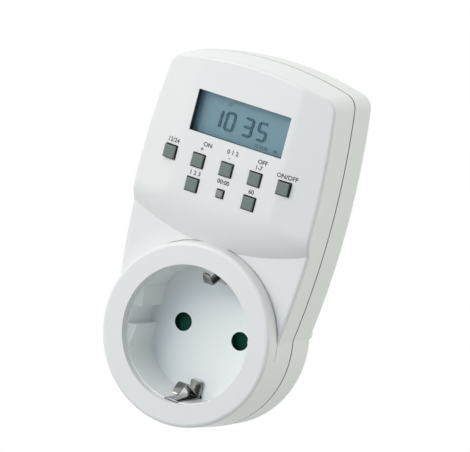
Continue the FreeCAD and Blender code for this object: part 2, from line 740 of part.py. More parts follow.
def socket_insert():
    """The round cup of the socket: two guide pads with a groove between their halves left and
    right, a slot for the earth strip above and below, and two pin holes in the floor."""
    body = piece("socket_insert")
    slab(body, "XZ", INSERT_FRONT, INSERT_BACK, ("circle", "0", "0", INSERT_RADIUS))
    chord = "sqrt(socket_radius ^ 2 - guide_flat ^ 2)"
    groove = "guide_groove / 2"
    groove_end = "sqrt(socket_radius ^ 2 - (guide_groove / 2) ^ 2)"
    flat = "guide_flat"
    recess = [(flat, groove), (flat, chord, "socket_radius"), (f"-{flat}", chord), (f"-{flat}", groove),
              (f"-{groove_end}", groove, "socket_radius"), (f"-{groove_end}", f"-{groove}"),
              (f"-{flat}", f"-{groove}"), (f"-{flat}", f"-{chord}", "socket_radius"),
              (flat, f"-{chord}"), (flat, f"-{groove}"),
              (groove_end, f"-{groove}", "socket_radius"), (groove_end, groove)]
    slab(body, "XZ", f"{INSERT_FRONT} - 1", FLOOR, ("path", recess), cut=True)
    turned(body, [(f"{INSERT_FRONT} - 1", "0"), (f"{INSERT_FRONT} - 1", "socket_radius"),
                  (INSERT_FRONT, "socket_radius"),
                  (f"{INSERT_FRONT} + guide_lead", "guide_flat"),
                  (f"{INSERT_FRONT} + guide_lead", "0")], cut=True)
    slab(body, "XZ", FLOOR, f"{INSERT_BACK} + 1",
         *[("circle", f"{side}{PIN_ACROSS}", "0", "pin_hole_radius") for side in BOTH_SIDES], cut=True)
    slot_low = f"({STRIP_INNER} - strip_slot_gap)"
    slot_high = "(socket_radius + insert_wall / 2)"
    slab(body, "XZ", f"{INSERT_FRONT} - 1", f"{INSERT_BACK} + 1",
         *[centred("0", f"{side}({slot_low} + {slot_high}) / 2", "strip_width + 2 * strip_slot_gap",
                   f"{slot_high} - {slot_low}") for side in BOTH_SIDES], cut=True)


def contact_carrier():
    body = piece("contact_carrier")
    slab(body, "XZ", INSERT_BACK, BACK_INNER, ("circle", "0", "0", "carrier_flange_radius"))
    slab(body, "XZ", f"{BACK_INNER} - 0.5", CARRIER_BACK,
         ("circle", "0", "0", "plug_hollow_radius - carrier_gap"))
    slab(body, "XZ", f"{INSERT_BACK} - 1", CARRIER_FRONT, ("circle", "0", "0", "plug_hollow_radius"),
         cut=True)
    slab(body, "XZ", f"{CARRIER_FRONT} - 1", f"{CARRIER_FRONT} + spring_pocket_depth",
         ("circle", "0", "0", "spring_pocket_radius"), cut=True)
    slab(body, "XZ", f"{CARRIER_FRONT} - 1", WELL_BACK,
         *[centred(f"{side}{PIN_ACROSS}", "0", "well_width", "well_height") for side in BOTH_SIDES],
         cut=True)
    tab = "(pin_spacing / 2 - contact_half + tab_inset)"
    slab(body, "XZ", f"{CONTACT_BACK} - contact_sheet - fit_gap", f"{CARRIER_BACK} + 1",
         *[("rectangle", f"{side}({tab} - tab_width - fit_gap)", f"{side}({tab} + fit_gap)",
            "0", "plug_hollow_radius") for side in BOTH_SIDES], cut=True)
    slab(body, "XZ", CARRIER_FRONT, f"{CARRIER_BACK} + 1",
         ("rectangle", "-wire_notch_half", "wire_notch_half", "wire_notch_height",
          "carrier_flange_radius + 1"), cut=True)
    slab(body, "XZ", f"{INSERT_BACK} + shutter_clear / 2", f"{CARRIER_FRONT} + spring_pocket_depth + 0.5",
         ("circle", "0", "0", "pivot_radius"))


def shutter():
    """The child guard: a two-lobed plate on a pivot, its lobes sloped where the pins push."""
    body = piece("shutter")
    front = f"({INSERT_BACK} + shutter_clear)"
    back = f"({front} + shutter_thickness)"
    slab(body, "XZ", front, back, ("circle", "0", "0", "shutter_hub"))
    slab(body, "XZ", front, back, centred("0", "0", "pin_spacing", "shutter_web"))
    slab(body, "XZ", front, back,
         *[("circle", f"{side}{PIN_ACROSS}", "0", "shutter_lobe") for side in BOTH_SIDES])
    for side, turn in (("", "-"), ("-", "")):
        reach = f"{turn}(shutter_lobe + 1)"
        ramp = [(front, f"{turn}(-pin_radius - shutter_clear)"), (front, reach),
                (f"{back} - shutter_thickness / 3", reach)]
        inner = f"{side}({PIN_ACROSS} - shutter_lobe)"
        outer = f"{side}({PIN_ACROSS} + shutter_lobe + 1)"
        low, high = (inner, outer) if side == "" else (outer, inner)
        slab(body, "YZ", low, high, ("path", ramp), cut=True)
    slab(body, "XZ", back, f"{CARRIER_FRONT} + spring_pocket_depth - shutter_clear",
         ("circle", "0", "0", "hub_boss_radius"))
    slab(body, "XZ", f"{front} - 1", f"{CARRIER_FRONT} + spring_pocket_depth + 1",
         ("circle", "0", "0", "pivot_radius + running_gap"), cut=True)


def shutter_spring():
    """A flat spiral of spring strip round the shutter's hub, drawn quarter turn by quarter turn."""
    body = piece("shutter_spring")
    quarters = 10
    ways = [("1", "0"), ("0", "1"), ("-1", "0"), ("0", "-1")]

    def edge(step, side):
        reach = f"(spring_inner_radius + {step} * spring_pitch / 4 {side} spring_wire / 2)"
        across, up = ways[step % 4]
        return reach, f"{across} * {reach}", f"{up} * {reach}"

    corners = []
    for step in range(quarters):
        reach, across, up = edge(step, "+")
        after = edge(step + 1, "+")[0]
        corners.append((across, up, f"({reach} + {after}) / 2"))
    corners.append(edge(quarters, "+")[1:])
    for step in range(quarters, 0, -1):
        reach, across, up = edge(step, "-")
        before = edge(step - 1, "-")[0]
        corners.append((across, up, f"({reach} + {before}) / 2", "right"))
    corners.append(edge(0, "-")[1:])
    middle = f"({CARRIER_FRONT} + spring_pocket_depth / 2)"
    slab(body, "XZ", f"{middle} - spring_width / 2", f"{middle} + spring_width / 2", ("path", corners))


def socket_contact(name, side):
    """A contact bent from brass sheet: two legs that pinch the pin, and a tab for its wire."""
    body = piece(name)
    centre = f"{side}{PIN_ACROSS}"
    mouth = f"({CARRIER_FRONT} + 0.8)"
    waist = f"({mouth} + 3.1)"
    straight = f"({mouth} + 8.6)"
    inner = [("contact_half - contact_sheet", f"{CONTACT_BACK} - contact_sheet"),
             ("contact_half - contact_sheet", straight), ("contact_pinch", waist),
             ("contact_half - contact_sheet", mouth)]
    outer = [("contact_half", mouth), ("contact_pinch + contact_sheet", waist),
             ("contact_half", straight), ("contact_half", CONTACT_BACK)]
    right = inner + outer
    corners = [(f"{centre} + {x}", y) for x, y in right]
    corners += [(f"{centre} - ({x})", y) for x, y in reversed(right)]
    slab(body, "XY", "-contact_width / 2", "contact_width / 2", ("path", corners))
    tab = f"{side}(pin_spacing / 2 - contact_half + tab_inset)"
    end = f"{side}(pin_spacing / 2 - contact_half + tab_inset - tab_width)"
    slab(body, "XZ", f"{CONTACT_BACK} - contact_sheet", CONTACT_BACK,
         ("rectangle", tab, end, "contact_width / 4", "tab_height"))


def plug_pin(name, side):
    body = piece(name)
    tip = "(plug_depth + pin_length)"
    turned(body, [(PIN_HEAD_FRONT, "0"), (PIN_HEAD_FRONT, "pin_head_radius"),
                  (PIN_HEAD_BACK, "pin_head_radius"), (PIN_HEAD_BACK, "pin_shoulder_radius"),
                  ("plug_depth", "pin_shoulder_radius"), ("plug_depth", "pin_radius"),
                  (f"{tip} - pin_tip_radius", "pin_radius", "pin_tip_radius", "right"),
                  (tip, "pin_radius - pin_tip_radius"), (tip, "0")],
           across=f"{side}{PIN_ACROSS}")


def earth_strip(name, side):
    """One earth strip, bent from plated spring sheet: a blade along the socket's wall with an
    upright end on its floor, a sprung leaf over it, and a tail that runs through the back wall
    into the plug's channel, where it bows out to meet the outer socket."""
    body = piece(name)
    tail_end = "(plug_depth - 1.4)"
    bow = "(plug_depth / 2)"
    jog_front = f"({INSERT_BACK} + 1)"
    jog_back = f"({INSERT_BACK} + 4)"
    front = f"({INSERT_FRONT} + strip_set_back)"
    upper = [(front, STRIP_OUTER), (jog_front, STRIP_OUTER), (jog_back, PLUG_STRIP_OUTER),
             ("1", PLUG_STRIP_OUTER), (bow, f"{PLUG_STRIP_OUTER} + plug_strip_bow"),
             (tail_end, f"{PLUG_STRIP_OUTER} - strip_sheet")]
    lower = [(tail_end, f"{PLUG_STRIP_INNER} - strip_sheet"), (bow, f"{PLUG_STRIP_INNER} + plug_strip_bow"),
             ("1", PLUG_STRIP_INNER), (jog_back, PLUG_STRIP_INNER), (jog_front, STRIP_INNER),
             (front, STRIP_INNER)]

    def strip(corners, width):
        signed = [(corner[0], f"{side}{corner[1]}") + tuple(corner[2:]) for corner in corners]
        slab(body, "YZ", f"-{width} / 2", f"{width} / 2", ("path", signed))

    strip(upper + lower, "strip_width")
    plate_back = f"({FLOOR} - fit_gap)"
    strip([(plate_back, f"({STRIP_INNER} + strip_sheet / 2)"),
           (plate_back, f"({STRIP_INNER} - upright_rise)"),
           (f"({plate_back} - strip_sheet)", f"({STRIP_INNER} - upright_rise)"),
           (f"({plate_back} - strip_sheet)", f"({STRIP_INNER} + strip_sheet / 2)")], "strip_width")
    root = f"({plate_back} - strip_sheet / 2)"
    apex = f"({root} - leaf_reach)"
    tip = f"({apex} - leaf_bend)"
    peak = f"({STRIP_INNER} - leaf_rise)"
    tip_height = f"({peak} + leaf_tip_drop)"
    strip([(root, f"({STRIP_INNER} + strip_sheet / 2)"), (apex, f"({peak} + strip_sheet / 2)"),
           (f"({tip} + strip_sheet / 2)", tip_height), (tip, tip_height),
           (f"({apex} - strip_sheet / 2)", f"({peak} - strip_sheet / 4)"),
           (f"({apex} + strip_sheet / 2)", f"({peak} - strip_sheet / 4)"),
           (root, f"({STRIP_INNER} - strip_sheet / 2)")], "leaf_width")


def earth_link():
    """The half ring that joins the two earth strips behind the insert."""
    body = piece("earth_link")
    front = f"({INSERT_BACK} + 1)"
    slab(body, "XZ", front, f"{front} + 1.6",
         ("circle", "0", "0", "link_radius"), ("circle", "0", "0", "link_radius - strip_sheet"))
    slab(body, "XZ", f"{front} - 1", f"{front} + 2.6",
         ("rectangle", "-strip_width / 2", "link_radius + 1", "-link_radius - 1", "link_radius + 1"),
         cut=True)


def wire(name, across, start_depth, start_height):
    """An insulated wire from the plug's hollow up to the power board's lower edge. From a pin's
    head it first goes up, and from a contact's tab straight forward."""
    body = piece(name)
    upward = start_height != "wire_height"
    corners = [(start_depth, start_height)]
    if upward:
        corners.append((start_depth, "wire_height"))
    corners += [(POWER_MIDDLE, "wire_height"), (POWER_MIDDLE, "power_low")]
    route = Drawing(body, "YZ", across)
    route.run(corners, "wire_bend")
    if upward:
        section = Drawing(body, "XY", start_height)
        section.circle(across, start_depth, "wire_radius")
    else:
        section = Drawing(body, "XZ", f"-({start_depth})")
        section.circle(across, start_height, "wire_radius")
    pipe = body.newObject("PartDesign::AdditivePipe", "Wire")
    pipe.Profile = section.sketch
    pipe.Spine = route.sketch
    doc.recompute()


def wires():
    head = f"(({PIN_HEAD_FRONT} + {PIN_HEAD_BACK}) / 2)"
    tab = f"({CONTACT_BACK} - contact_sheet)"
    tab_across = "(pin_spacing / 2 - contact_half + tab_inset - tab_width / 2)"
    wire("live_wire", "-wire_across", head, "pin_head_radius")
    wire("neutral_wire", "wire_across", head, "pin_head_radius")
    wire("switched_wire", f"-{tab_across}", tab, "wire_height")
    wire("return_wire", tab_across, tab, "wire_height")


def display():
    """Window lens, display glass, the frame that holds both, and the rubber contact strip."""
    centre = ("0", "window_centre_height")
    width = f"2 * {LENS_HALF_WIDTH}"
    height = f"2 * {LENS_HALF_HEIGHT}"
    slab(piece("display_lens"), "XZ", FACE_INNER, LENS_BACK, centred(*centre, width, height))
    slab(piece("display_glass"), "XZ", GLASS_FRONT, GLASS_BACK, centred(*centre, width, height))
    frame = piece("display_frame")
    slab(frame, "XZ", FACE_INNER, BOARD_FRONT,
         centred(*centre, f"{width} + 2 * (frame_wall + fit_gap)", f"{height} + 2 * (frame_wall + fit_gap)"),
         centred(*centre, f"{width} + 2 * fit_gap", f"{height} + 2 * fit_gap"))
    low = f"(window_centre_height - {LENS_HALF_HEIGHT})"
    slab(piece("rubber_connector"), "XZ", GLASS_BACK, BOARD_FRONT,
         ("rectangle", "-window_width / 2", "window_width / 2", low, f"{low} + rubber_strip_thickness"))


def key(name, across, row, size):
    """A push key: a square cap in its guide hole, a flange behind the wall and a stem over its
    contact on the board."""
    body = piece(name)
    front = f"({FACE} - key_stand)"
    slab(body, "XZ", front, f"{FACE_INNER} + key_flange / 2", centred(across, row, size, size))
    front_level = number(front)
    rounded(body, "key_corner_radius", lambda edge: all_at(edge, lambda p: p.y < front_level + 0.01))
    wide = f"{size} + 2 * key_flange_margin"
    slab(body, "XZ", FACE_INNER, FLANGE_BACK, centred(across, row, wide, wide))
    slab(body, "XZ", FLANGE_BACK, f"{BOARD_FRONT} - key_travel - fit_gap",
         ("circle", across, row, "key_stem_radius"))


def keypad_mat():
    """The rubber mat on the board, with a dome's rim round each key's stem."""
    body = piece("keypad_mat")
    half = "(2 * key_pitch + mat_margin)"
    front = f"({BOARD_FRONT} - mat_thickness)"
    slab(body, "XZ", front, BOARD_FRONT,
         ("rectangle", f"(-{half} - key_shift)", f"({half} - key_shift)", "lower_row_height - mat_margin",
          "upper_row_height + mat_margin"))
    bore = "(key_stem_radius + dome_gap)"
    places = [(across, row) for name, across, row, size in KEYS]
    slab(body, "XZ", f"{FLANGE_BACK} + key_travel + dome_gap", f"{front} + 0.5",
         *[("circle", across, up, f"{bore} + dome_wall") for across, up in places])
    slab(body, "XZ", f"{FLANGE_BACK} + key_travel", f"{BOARD_FRONT} + 1",
         *[("circle", across, up, bore) for across, up in places], cut=True)


def control_board():
    body = piece("control_board")
    wide, shoulder = "control_half_width", "control_shoulder"
    step = "control_shoulder_height"
    corners = [(f"-{wide}", "control_low"), (wide, "control_low"), (wide, step), (shoulder, step),
               (shoulder, "control_high"), (f"-{shoulder}", "control_high"), (f"-{shoulder}", step),
               (f"-{wide}", step)]
    slab(body, "XZ", BOARD_FRONT, BOARD_BACK, ("path", corners))
    slab(body, "XZ", f"{BOARD_FRONT} - 1", f"{BOARD_BACK} + 1",
         *[("circle", across, up, "board_screw_radius + running_gap") for across, up in BOARD_POSTS],
         cut=True)


def power_board():
    body = piece("power_board")
    slab(body, "XZ", POWER_FRONT, POWER_BACK,
         ("rectangle", "-power_half_width", "power_half_width", "power_low", "power_high"))
    slab(body, "XZ", f"{POWER_FRONT} - 1", f"{POWER_BACK} + 1",
         *[("circle", across, up, "stake_radius + running_gap") for across, up in STAKES], cut=True)


def board_screws():
    body = piece("board_screws")
    slab(body, "XZ", f"{BOARD_FRONT} - board_screw_bite + fit_gap", f"{BOARD_BACK} + 0.5",
         *[("circle", across, up, "board_screw_radius") for across, up in BOARD_POSTS])
    slab(body, "XZ", BOARD_BACK, f"{BOARD_BACK} + board_screw_head",
         *[("circle", across, up, "board_screw_head_radius") for across, up in BOARD_POSTS])


def case_screws():
    body = piece("case_screws")
    seat = "(-screw_well - screw_head)"
    slab(body, "XZ", f"{SEAM_FRONT} - screw_bite + fit_gap", f"{seat} + 0.5",
         *[("circle", across, up, "screw_radius") for across, up in CASE_SCREWS])
    slab(body, "XZ", seat, f"{seat} + screw_head",
         *[("circle", across, up, "screw_head_radius") for across, up in CASE_SCREWS])


def board_parts():
    """What the two boards carry: chip, crystal and cell on the control board's back, and relay,
    capacitors, surge disc and fuse on the power board's front."""
    chip_across = "(chip_size / 2 - control_half_width + chip_inset)"
    chip_low = "(control_low + chip_rise)"
    cell_up = "(window_centre_height + cell_rise)"
    left = "(part_inset - power_half_width)"
    relay_right = f"({HEADER_ACROSS} - header_bar / 2 - part_gap)"
    relay_up = "(window_centre_height - relay_drop)"
    slab(piece("control_chip"), "XZ", BOARD_BACK, f"{BOARD_BACK} + chip_height",
         centred(chip_across, f"{chip_low} + chip_size / 2", "chip_size", "chip_size"))
    slab(piece("clock_crystal"), "XY", f"{chip_low} + part_gap", f"{chip_low} + part_gap + crystal_length",
         ("circle", f"{chip_across} + chip_size / 2 + chip_inset", f"{BOARD_BACK} + crystal_radius",
          "crystal_radius"))
    slab(piece("backup_cell"), "XZ", BOARD_BACK, f"{BOARD_BACK} + cell_height",
         ("circle", chip_across, cell_up, "cell_radius"))
    slab(piece("relay"), "XZ", f"{POWER_FRONT} - relay_height", POWER_FRONT,
         centred(f"{relay_right} - relay_width / 2", relay_up, "relay_width", "relay_length"))
    slab(piece("film_capacitor"), "XZ", f"{POWER_FRONT} - film_height", POWER_FRONT,
         centred(f"{left} + film_length / 2", "power_low + film_rise", "film_length", "film_width"))
    slab(piece("can_capacitor"), "YZ", left, f"{left} + can_length",
         ("circle", f"{POWER_FRONT} - can_radius", f"{relay_up}", "can_radius"))
    slab(piece("fuse"), "XY", "power_low + stake_inset * 2", "power_low + stake_inset * 2 + fuse_length",
         ("circle", f"{left} + film_length + part_gap + fuse_radius", f"{POWER_FRONT} - fuse_radius",
          "fuse_radius"))
    slab(piece("surge_disc"), "XY", "power_low + stake_inset", "power_low + stake_inset + disc_thickness",
         ("circle", f"{relay_right} - relay_width / 2", f"{POWER_FRONT} - disc_radius", "disc_radius"))


def board_link():
    """The pin header that joins the two boards."""
    body = piece("board_link")
    across = HEADER_ACROSS
    low = "(power_low + header_rise)"
    slab(body, "XZ", f"{POWER_FRONT} - header_bar", POWER_FRONT,
         ("rectangle", f"{across} - header_bar / 2", f"{across} + header_bar / 2",
          f"{low} - header_pitch / 2", f"{low} + header_pitch * (header_places - 0.5)"))
    slab(body, "XZ", BOARD_BACK, f"{POWER_FRONT} - header_bar / 2",
         *[centred(across, f"{low} + {place} * header_pitch", "header_pin", "header_pin")
           for place in range(SIZES["header_places"])])


doc.recompute()
front_cover()
rear_cover()
socket_insert()
contact_carrier()
shutter()
shutter_spring()
socket_contact("live_contact", "-")
socket_contact("neutral_contact", "")
plug_pin("live_pin", "-")
plug_pin("neutral_pin", "")
earth_strip("upper_earth_strip", "")
earth_strip("lower_earth_strip", "-")
earth_link()
display()
for settings in KEYS:
    key(*settings)
keypad_mat()
control_board()
power_board()
board_screws()
case_screws()
board_parts()
board_link()
wires()

doc.recompute()
faulty = [thing.Name for thing in doc.Objects if {"Invalid", "Error"} & set(thing.State)]
if faulty:
    raise RuntimeError(f"These objects failed: {faulty}")
for part in pieces:
    shape = part.Shape
    if shape.isNull() or not shape.isValid():
        raise RuntimeError(f"{part.Label} has no valid shape")
for part in pieces:
    box = part.Shape.optimalBoundingBox(False)
    spans = [round(v, 1) for v in (box.XMin, box.XMax, box.YMin, box.YMax, box.ZMin, box.ZMax)]
    print(part.Label, len(part.Shape.Solids), round(part.Shape.Volume, 1), spans)
    part.Shape.exportStep(f"parts/{part.Label}.step")
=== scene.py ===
import math

import bpy
from mathutils import Euler, Matrix, Vector


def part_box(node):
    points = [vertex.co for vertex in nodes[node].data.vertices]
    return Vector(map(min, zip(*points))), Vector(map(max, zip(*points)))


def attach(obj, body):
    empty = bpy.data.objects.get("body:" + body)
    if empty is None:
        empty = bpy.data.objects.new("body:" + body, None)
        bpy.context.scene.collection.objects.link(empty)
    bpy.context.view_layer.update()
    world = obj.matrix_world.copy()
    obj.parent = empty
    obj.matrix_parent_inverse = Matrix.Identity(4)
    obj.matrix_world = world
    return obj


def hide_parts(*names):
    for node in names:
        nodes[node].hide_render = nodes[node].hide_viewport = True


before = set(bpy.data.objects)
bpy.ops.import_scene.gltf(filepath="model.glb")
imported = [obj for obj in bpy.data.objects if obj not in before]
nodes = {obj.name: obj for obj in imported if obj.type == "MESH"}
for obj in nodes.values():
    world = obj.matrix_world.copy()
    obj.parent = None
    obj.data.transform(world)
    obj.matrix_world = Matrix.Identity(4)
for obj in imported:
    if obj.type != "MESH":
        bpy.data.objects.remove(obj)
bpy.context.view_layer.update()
print("frame loaded with", len(nodes), "nodes")


# shader helpers: sums on node outputs are written as plain Python sums

class Flow:
    def __init__(self, paint, socket):
        self.paint = paint
        self.socket = socket

    def math(self, operation, first, second):
        return self.paint.node("ShaderNodeMath", {"operation": operation}, {0: first, 1: second})

    def __add__(self, other):
        return self.math("ADD", self, other)

    def __radd__(self, other):
        return self.math("ADD", other, self)

    def __sub__(self, other):
        return self.math("SUBTRACT", self, other)

    def __rsub__(self, other):
        return self.math("SUBTRACT", other, self)

    def __mul__(self, other):
        return self.math("MULTIPLY", self, other)

    def __rmul__(self, other):
        return self.math("MULTIPLY", other, self)

    def __abs__(self):
        return self.math("ABSOLUTE", self, 0.0)

    def above(self, level):
        return self.math("GREATER_THAN", self, level)

    def atLeast(self, other):
        return self.math("MAXIMUM", self, other)


class Paint:
    def __init__(self, tree):
        self.tree = tree

    def node(self, kind, settings, sockets, output=0):
        made = self.tree.nodes.new(kind)
        for name, value in settings.items():
            setattr(made, name, value)
        for name, value in sockets.items():
            if isinstance(value, Flow):
                self.tree.links.new(value.socket, made.inputs[name])
            else:
                made.inputs[name].default_value = value
        return Flow(self, made.outputs[output])

    def mix(self, share, *colours):  # two colours, each as numbers or as a flow
        first, second = (
            colour if isinstance(colour, Flow) else (*colour, 1) for colour in colours
        )
        return self.node(
            "ShaderNodeMix", {"data_type": "RGBA"}, {0: share, 6: first, 7: second}, 2
        )

    def spots(self, place, size, detail=3.0):  # soft cloud pattern, size in metres
        return self.node(
            "ShaderNodeTexNoise", {}, {"Vector": place, "Scale": 1 / size, "Detail": detail}
        )

    def backdropRays(self):  # 1 where the camera, a reflection or a view through glass looks
        camera, glossy, through = (
            self.node("ShaderNodeLightPath", {}, {}, "Is " + kind + " Ray")
            for kind in ("Camera", "Glossy", "Transmission")
        )
        return camera.atLeast(glossy).atLeast(through)


class Finish(Paint):
    def __init__(self, name, **fixed):
        self.material = bpy.data.materials.new(name)
        self.material.use_nodes = True
        super().__init__(self.material.node_tree)
        self.shader = self.tree.nodes["Principled BSDF"]
        for socketName, value in fixed.items():
            self.shader.inputs[socketName.replace("_", " ")].default_value = value
        self.place = self.node("ShaderNodeTexCoord", {}, {}, "Object")

    def feed(self, socketName, value):
        self.tree.links.new(value.socket, self.shader.inputs[socketName])

    def mapped(self, **change):  # object coordinates, stretched or turned
        return self.node("ShaderNodeMapping", {}, {"Vector": self.place, **change})

    def axis(self, name):
        return self.node("ShaderNodeSeparateXYZ", {}, {"Vector": self.place}, name)

    def within(self, axisName, low, high):
        along = self.axis(axisName)
        return along.above(low) * (1 - along.above(high))

    def gloss(self, look, pattern):
        self.feed("Roughness", look["roughness"] + look["glossSpread"] * pattern)

    def relief(self, height, depth):
        self.feed("Normal", self.node("ShaderNodeBump", {}, {"Height": height, "Distance": depth}))

    def over(self, mask, colour):  # a second colour where the mask is 1
        under = Flow(self, self.shader.inputs["Base Color"].links[0].from_socket)
        self.feed("Base Color", self.mix(mask, under, colour))


def mouldedPlastic(name, look):
    # moulded thermoplastic: a faint flow tint, fine spark texture and slightly uneven gloss
    look = {**plasticBase, **look}
    finish = Finish(name, Roughness=look["roughness"], IOR=look["bend"])
    cloud = finish.spots(finish.place, look["cloudSize"])
    finish.feed("Base Color", finish.mix(cloud, look["colour"], look["tint"]))
    grain = finish.spots(finish.place, look["grainSize"], 2.0)
    finish.gloss(look, cloud + grain - 1.0)
    finish.relief(grain, look["grainDepth"])
    return finish


def metal(name, look):
    # stamped or turned metal: fine drawn lines along one axis, with a little tarnish
    finish = Finish(name, Metallic=1.0, Roughness=look["roughness"])
    lines = finish.spots(finish.mapped(Scale=look["lineStretch"]), look["lineSize"], 2.0)
    tarnish = finish.spots(finish.place, look["tarnishSize"])
    finish.feed("Base Color", finish.mix(tarnish, look["colour"], look["tarnish"]))
    finish.gloss(look, lines + tarnish - 1.0)
    finish.relief(lines, look["lineDepth"])
    return finish


# what every casing and inner plastic has, where its own look says nothing else
plasticBase = {"bend": 1.5, "grainSize": 0.0003, "grainDepth": 0.000006, "glossSpread": 0.1}
plasticLooks = {
    "whiteCasing": {
        "colour": (0.81, 0.815, 0.81), "tint": (0.79, 0.80, 0.80),
        "roughness": 0.36, "glossSpread": 0.08, "cloudSize": 0.03,
    },
    "whiteRear": {
        "colour": (0.79, 0.80, 0.785), "tint": (0.77, 0.78, 0.77),
        "roughness": 0.38, "glossSpread": 0.08, "cloudSize": 0.03,
    },
    "whiteSocket": {
        "colour": (0.87, 0.895, 0.90), "tint": (0.85, 0.88, 0.89),
        "roughness": 0.22, "glossSpread": 0.08,
        "cloudSize": 0.02, "grainSize": 0.0004, "grainDepth": 0.000002,
    },
    "carrierPlastic": {
        "colour": (0.70, 0.70, 0.67), "tint": (0.66, 0.66, 0.63),
        "roughness": 0.45, "cloudSize": 0.01,
    },
    "greenShutter": {
        "colour": (0.003, 0.085, 0.052), "tint": (0.002, 0.065, 0.040),
        "roughness": 0.6, "bend": 1.25,
        "cloudSize": 0.004, "grainSize": 0.0005, "grainDepth": 0.000002,
    },
    "blackFrame": {
        "colour": (0.020, 0.021, 0.023), "tint": (0.028, 0.029, 0.031),
        "roughness": 0.5, "cloudSize": 0.006, "grainDepth": 0.00001,
    },
    "layeredRubber": {
        "colour": (0.62, 0.30, 0.32), "tint": (0.54, 0.25, 0.27),
        "roughness": 0.6, "cloudSize": 0.003, "grainSize": 0.0002, "grainDepth": 0.00001,
    },
    "keyRubber": {
        "colour": (0.146, 0.183, 0.170), "tint": (0.128, 0.164, 0.151),
        "roughness": 0.42, "glossSpread": 0.12,
        "cloudSize": 0.004, "grainSize": 0.00025, "grainDepth": 0.00001,
    },
    "resetRubber": {
        "colour": (0.250, 0.256, 0.252), "tint": (0.225, 0.230, 0.227),
        "roughness": 0.42, "glossSpread": 0.12,
        "cloudSize": 0.004, "grainSize": 0.00025, "grainDepth": 0.00001,
    },
    "chipEpoxy": {
        "colour": (0.018, 0.018, 0.019), "tint": (0.026, 0.026, 0.027),
        "roughness": 0.55, "cloudSize": 0.002, "grainSize": 0.0002, "grainDepth": 0.00001,
    },
    "relayCase": {
        "colour": (0.020, 0.024, 0.030), "tint": (0.026, 0.030, 0.036),
        "roughness": 0.28, "cloudSize": 0.006, "grainSize": 0.0004, "grainDepth": 0.000004,
    },
    "yellowBox": {
        "colour": (0.60, 0.42, 0.06), "tint": (0.52, 0.36, 0.05),
        "roughness": 0.3, "cloudSize": 0.006, "grainSize": 0.0004, "grainDepth": 0.000004,
    },
    "shrinkSleeve": {
        "colour": (0.020, 0.022, 0.036), "tint": (0.028, 0.030, 0.044),
        "roughness": 0.24, "cloudSize": 0.004, "grainSize": 0.0005, "grainDepth": 0.000004,
    },
    "blueLacquer": {
        "colour": (0.03, 0.12, 0.36), "tint": (0.02, 0.09, 0.28),
        "roughness": 0.25, "cloudSize": 0.003, "grainSize": 0.0006, "grainDepth": 0.00001,
    },
    "brownInsulation": {
        "colour": (0.14, 0.055, 0.025), "tint": (0.11, 0.045, 0.02),
        "roughness": 0.35, "cloudSize": 0.004, "grainSize": 0.0004,
    },
    "blueInsulation": {
        "colour": (0.03, 0.12, 0.42), "tint": (0.025, 0.10, 0.35),
        "roughness": 0.35, "cloudSize": 0.004, "grainSize": 0.0004,
    },
}

metalLooks = {
    "nickelSheet": {
        "colour": (0.35, 0.355, 0.34), "tarnish": (0.22, 0.225, 0.215), "tarnishSize": 0.003,
        "lineStretch": (1.0, 0.06, 1.0), "lineSize": 0.00012, "lineDepth": 0.000006,
        "roughness": 0.19, "glossSpread": 0.16,
    },
    "nickelBrass": {
        "colour": (0.66, 0.63, 0.57), "tarnish": (0.58, 0.54, 0.46), "tarnishSize": 0.004,
        "lineStretch": (0.05, 1.0, 0.05), "lineSize": 0.00015, "lineDepth": 0.000005,
        "roughness": 0.22, "glossSpread": 0.14,
    },
    "contactBrass": {
        "colour": (0.68, 0.50, 0.20), "tarnish": (0.54, 0.37, 0.14), "tarnishSize": 0.003,
        "lineStretch": (1.0, 0.08, 1.0), "lineSize": 0.00015, "lineDepth": 0.000006,
        "roughness": 0.3, "glossSpread": 0.16,
    },
    "springSteel": {
        "colour": (0.50, 0.50, 0.51), "tarnish": (0.40, 0.40, 0.42), "tarnishSize": 0.002,
        "lineStretch": (1.0, 0.1, 1.0), "lineSize": 0.0001, "lineDepth": 0.000004,
        "roughness": 0.3, "glossSpread": 0.12,
    },
    "zincScrew": {
        "colour": (0.60, 0.60, 0.58), "tarnish": (0.48, 0.47, 0.42), "tarnishSize": 0.001,
        "lineStretch": (1.0, 1.0, 1.0), "lineSize": 0.0002, "lineDepth": 0.000008,
        "roughness": 0.34, "glossSpread": 0.16,
    },
    "drawnCan": {
        "colour": (0.64, 0.64, 0.64), "tarnish": (0.54, 0.54, 0.55), "tarnishSize": 0.002,
        "lineStretch": (1.0, 1.0, 0.08), "lineSize": 0.00015, "lineDepth": 0.000004,
        "roughness": 0.26, "glossSpread": 0.12,
    },
}

finishes = {name: mouldedPlastic(name, look) for name, look in plasticLooks.items()}
finishes.update({name: metal(name, look) for name, look in metalLooks.items()})
print("plain finishes mixed:", len(finishes))

# painted shade: the window's cut edge is painted near black, standing in for the shade in the
# cavity behind the window's lip
windowShade = {
    "halfWide": 0.0153, "low": 0.0565, "high": 0.0692, "front": -0.0273,
    "colour": (0.010, 0.014, 0.018),
}
casing = finishes["whiteCasing"]
windowShadeMask = (
    casing.within("X", -windowShade["halfWide"], windowShade["halfWide"])
    * casing.within("Z", windowShade["low"], windowShade["high"])
    * casing.axis("Y").above(windowShade["front"])
)
casing.over(windowShadeMask, windowShade["colour"])

# painted shade: the two edges at the parting line are painted dark grey, for the shade in the gap
# between the covers
seamShade = {"front": -0.01362, "rear": -0.01299, "colour": (0.19, 0.19, 0.18)}
rearCasing = finishes["whiteRear"]
casing.over(casing.axis("Y").above(seamShade["front"]), seamShade["colour"])
rearCasing.over(1 - rearCasing.axis("Y").above(seamShade["rear"]), seamShade["colour"])
